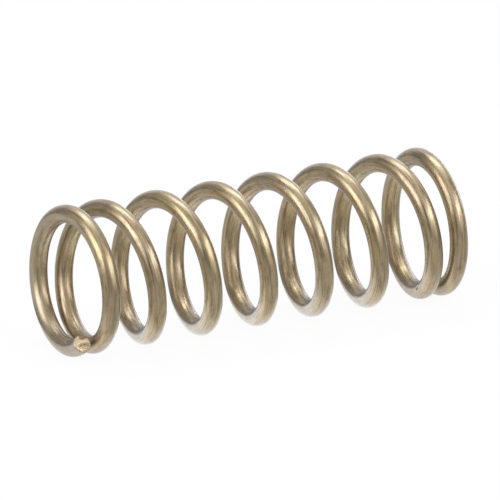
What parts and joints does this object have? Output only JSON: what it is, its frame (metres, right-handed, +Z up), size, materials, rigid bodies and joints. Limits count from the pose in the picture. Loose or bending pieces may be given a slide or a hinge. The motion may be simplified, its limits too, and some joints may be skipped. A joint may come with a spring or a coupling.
{
  "type": "compression spring",
  "caption": "Small compression spring coiled from round wire, with evenly open middle coils and closed, unground ends, lying on its side.",
  "frame": {"origin": "on the floor under the middle of the spring as it lies on its side", "axes": "+X along the coil's axis, from the end whose cut face shows from the front to the other, +Z up"},
  "size_m": [0.036, 0.0124, 0.0124],
  "materials": {
    "spring_wire": "drawn bronze-coloured wire, satin, with faint lines along it"
  },
  "bodies": {
    "root": {"spring": "spring_wire"}
  },
  "joints": []
}
